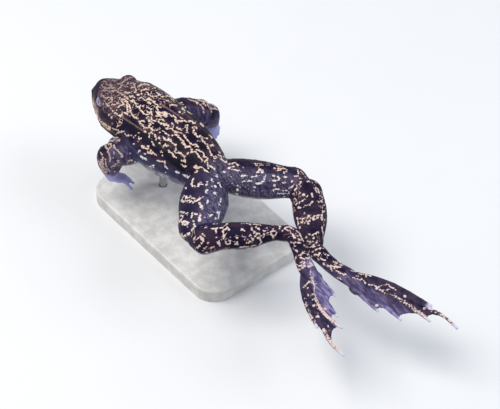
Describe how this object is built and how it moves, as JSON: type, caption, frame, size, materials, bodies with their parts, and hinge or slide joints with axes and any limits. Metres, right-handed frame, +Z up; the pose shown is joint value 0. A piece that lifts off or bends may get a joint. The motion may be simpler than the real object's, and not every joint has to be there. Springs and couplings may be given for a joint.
{
  "type": "common frog model",
  "caption": "Life-size common frog in mid-stroke, hind legs drawn in and feet trailing, held by two short rods over a flat display base.",
  "frame": {"origin": "centre of the underside of the stand's base", "axes": "+Z up, the frog faces -Y and its left side is +X"},
  "size_m": [0.0626, 0.1949, 0.0467],
  "materials": {
    "skin": "moist dark skin with cream markings",
    "web": "moist lilac webs, toes and fingers",
    "eye": "wet polished eye",
    "base": "plain satin base",
    "rod": "brushed steel rods"
  },
  "bodies": {
    "root": {"head": "skin", "torso": "skin", "eye_left": "eye", "eye_right": "eye", "upper_arm_left": "skin", "upper_arm_right": "skin", "forearm_left": "skin", "forearm_right": "skin", "hand_left": "web", "hand_right": "web", "thigh_left": "skin", "thigh_right": "skin", "shank_left": "skin", "shank_right": "skin", "tarsus_left": "skin", "tarsus_right": "skin", "foot_left": "web", "foot_right": "web", "stand_base": "base", "stand_rod_front": "rod", "stand_rod_rear": "rod"}
  },
  "joints": []
}
